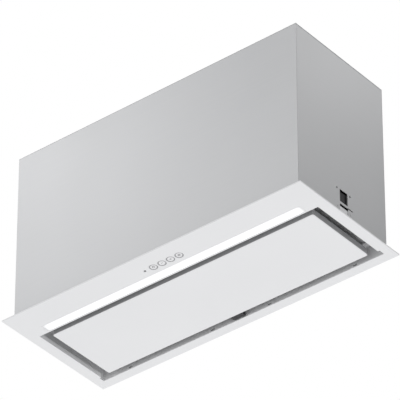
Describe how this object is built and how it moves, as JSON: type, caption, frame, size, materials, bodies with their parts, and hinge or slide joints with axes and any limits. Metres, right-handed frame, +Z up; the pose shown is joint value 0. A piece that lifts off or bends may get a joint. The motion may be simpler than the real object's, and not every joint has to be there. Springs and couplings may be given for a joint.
{
  "type": "built-in canopy range hood",
  "caption": "Built-in range hood with a perimeter suction panel, lamp bar, push buttons, blower and round duct outlet.",
  "frame": {"origin": "middle of the mounting flange's underside", "axes": "+Z up through the outlet, +X to the right as seen from the control side, -Y towards the user and the controls"},
  "size_m": [0.7, 0.292, 0.42],
  "materials": {
    "casing_steel": "satin, fine grain",
    "white_paint": "smooth semi-matt white powder coat",
    "liner_steel": "galvanised sheet",
    "lens_plastic": "opal diffuser",
    "button_metal": "satin plated",
    "dark_plastic": "fine moulded texture",
    "grey_plastic": "moulded",
    "circuit_board": "solder mask",
    "filter_aluminium": "rolled",
    "bright_steel": "zinc plated",
    "spring_steel": "black oxide",
    "motor_paint": "grey lacquer",
    "cream_plastic": "moulded"
  },
  "bodies": {
    "hood": {"front_panel": "casing_steel", "rear_panel": "casing_steel", "left_side_panel": "casing_steel", "right_side_panel": "casing_steel", "top_panel": "casing_steel", "flange_frame": "white_paint", "inlet_collar": "liner_steel", "hinge_bracket_left": "liner_steel", "hinge_bracket_right": "liner_steel", "hinge_pin_left": "bright_steel", "hinge_pin_right": "bright_steel", "catch_housing": "dark_plastic", "lamp_diffuser": "lens_plastic", "lamp_board": "circuit_board", "lamp_housing": "filter_aluminium", "button_bezel_1": "button_metal", "button_bezel_2": "button_metal", "button_bezel_3": "button_metal", "button_bezel_4": "button_metal", "indicator_lens": "dark_plastic", "control_board": "circuit_board", "control_case": "grey_plastic", "volute_wall": "grey_plastic", "volute_side_left": "grey_plastic", "volute_side_right": "grey_plastic", "inlet_ring": "grey_plastic", "motor": "motor_paint", "motor_bracket": "bright_steel", "motor_capacitor": "cream_plastic", "outlet_collar": "dark_plastic", "flap_pin": "bright_steel", "wiring_box": "grey_plastic", "wiring_box_cover": "grey_plastic", "terminal_block": "cream_plastic", "lamp_driver": "cream_plastic", "cable_gland": "dark_plastic", "clip_bracket_left": "bright_steel", "clip_bracket_right": "bright_steel", "clip_pin_left": "bright_steel", "clip_pin_right": "bright_steel"},
    "suction_panel_leaf": {"suction_panel": "white_paint", "panel_stiffener": "liner_steel"},
    "catch": {"catch_tongue": "dark_plastic"},
    "filter_left": {"filter_frame_left": "filter_aluminium", "filter_mesh_left": "filter_aluminium", "filter_strap_left": "dark_plastic"},
    "filter_right": {"filter_frame_right": "filter_aluminium", "filter_mesh_right": "filter_aluminium", "filter_strap_right": "dark_plastic"},
    "fan_rotor": {"impeller": "dark_plastic", "motor_shaft": "bright_steel"},
    "front_flap": {"flap_front": "grey_plastic"},
    "rear_flap": {"flap_rear": "grey_plastic"},
    "left_clip": {"side_clip_left": "spring_steel"},
    "right_clip": {"side_clip_right": "spring_steel"},
    "push_button_1": {"button_1": "button_metal"},
    "push_button_2": {"button_2": "button_metal"},
    "push_button_3": {"button_3": "button_metal"},
    "push_button_4": {"button_4": "button_metal"}
  },
  "joints": [
    {"name": "panel_hinge", "type": "hinge", "parent": "hood", "child": "suction_panel_leaf", "pos_m": [0, -0.044, 0.017], "axis": [-1, 0, 0], "range_deg": [0, 85]},
    {"name": "catch_press", "type": "slide", "parent": "hood", "child": "catch", "axis": [0, 1, 0], "range_m": [0, 0.002], "stiffness_N_per_m": 400, "springref_m": -0.001},
    {"name": "filter_lift_left", "type": "slide", "parent": "hood", "child": "filter_left", "axis": [0, 0, 1], "range_m": [0, 0.035]},
    {"name": "filter_lift_right", "type": "slide", "parent": "hood", "child": "filter_right", "axis": [0, 0, 1], "range_m": [0, 0.035]},
    {"name": "fan_spin", "type": "hinge", "parent": "hood", "child": "fan_rotor", "pos_m": [0, -0.01777, 0.2088], "axis": [1, 0, 0], "continuous": true},
    {"name": "front_flap_hinge", "type": "hinge", "parent": "hood", "child": "front_flap", "pos_m": [0, 0.045, 0.397], "axis": [-1, 0, 0], "range_deg": [0, 80]},
    {"name": "rear_flap_hinge", "type": "hinge", "parent": "hood", "child": "rear_flap", "pos_m": [0, 0.045, 0.397], "axis": [1, 0, 0], "range_deg": [0, 80]},
    {"name": "left_clip_swing", "type": "hinge", "parent": "hood", "child": "left_clip", "pos_m": [-0.3273, 0.0038, 0.046], "axis": [0, -1, 0], "range_deg": [0, 45]},
    {"name": "right_clip_swing", "type": "hinge", "parent": "hood", "child": "right_clip", "pos_m": [0.3273, 0.0038, 0.046], "axis": [0, 1, 0], "range_deg": [0, 45]},
    {"name": "button_press_1", "type": "slide", "parent": "hood", "child": "push_button_1", "axis": [0, 0, 1], "range_m": [0, 0.0015], "stiffness_N_per_m": 400, "springref_m": -0.001},
    {"name": "button_press_2", "type": "slide", "parent": "hood", "child": "push_button_2", "axis": [0, 0, 1], "range_m": [0, 0.0015], "stiffness_N_per_m": 400, "springref_m": -0.001},
    {"name": "button_press_3", "type": "slide", "parent": "hood", "child": "push_button_3", "axis": [0, 0, 1], "range_m": [0, 0.0015], "stiffness_N_per_m": 400, "springref_m": -0.001},
    {"name": "button_press_4", "type": "slide", "parent": "hood", "child": "push_button_4", "axis": [0, 0, 1], "range_m": [0, 0.0015], "stiffness_N_per_m": 400, "springref_m": -0.001}
  ]
}
